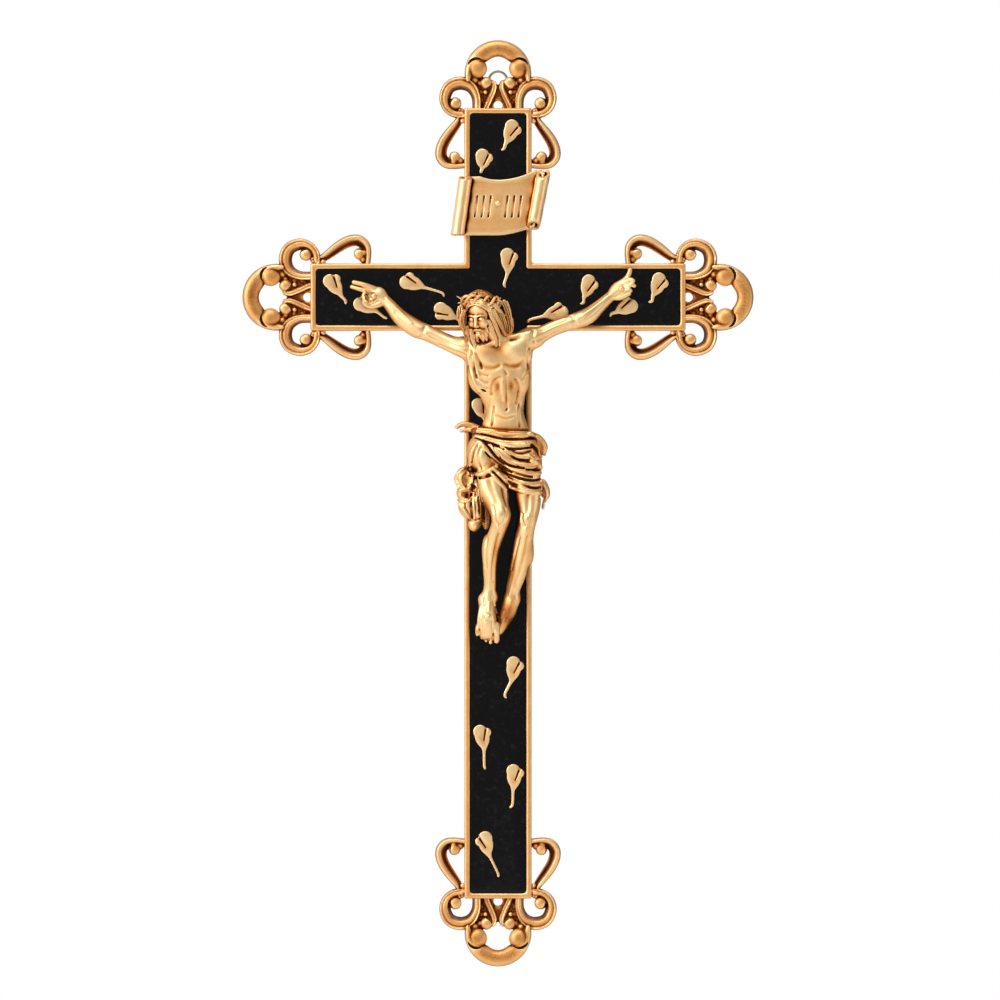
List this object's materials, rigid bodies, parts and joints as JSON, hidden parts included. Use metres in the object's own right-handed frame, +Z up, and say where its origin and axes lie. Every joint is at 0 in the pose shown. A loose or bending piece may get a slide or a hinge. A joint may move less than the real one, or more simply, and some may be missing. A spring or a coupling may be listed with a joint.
{
  "type": "wall crucifix",
  "caption": "Wall crucifix: gold-toned cast cross with scrolled ends, black enamel field with cast leaves, cast figure, title scroll and a wire hanging ring.",
  "frame": {"origin": "the point inside the top of the hanging ring where a nail bears, in the plane of the wall", "axes": "+Z up along the shaft, +X to the viewer's right along the beam, +Y into the wall, so the front faces -Y"},
  "size_m": [0.1398, 0.0193, 0.2534],
  "materials": {
    "antique_gold": "satin antique gold plate with dark patina in the recesses",
    "black_enamel": "glossy poured black enamel",
    "steel_wire": "bright drawn wire"
  },
  "bodies": {
    "root": {"cross_casting": "antique_gold", "enamel_field": "black_enamel", "corpus": "antique_gold", "title_scroll": "antique_gold", "title_pin": "antique_gold", "hanging_ring": "steel_wire"}
  },
  "joints": []
}
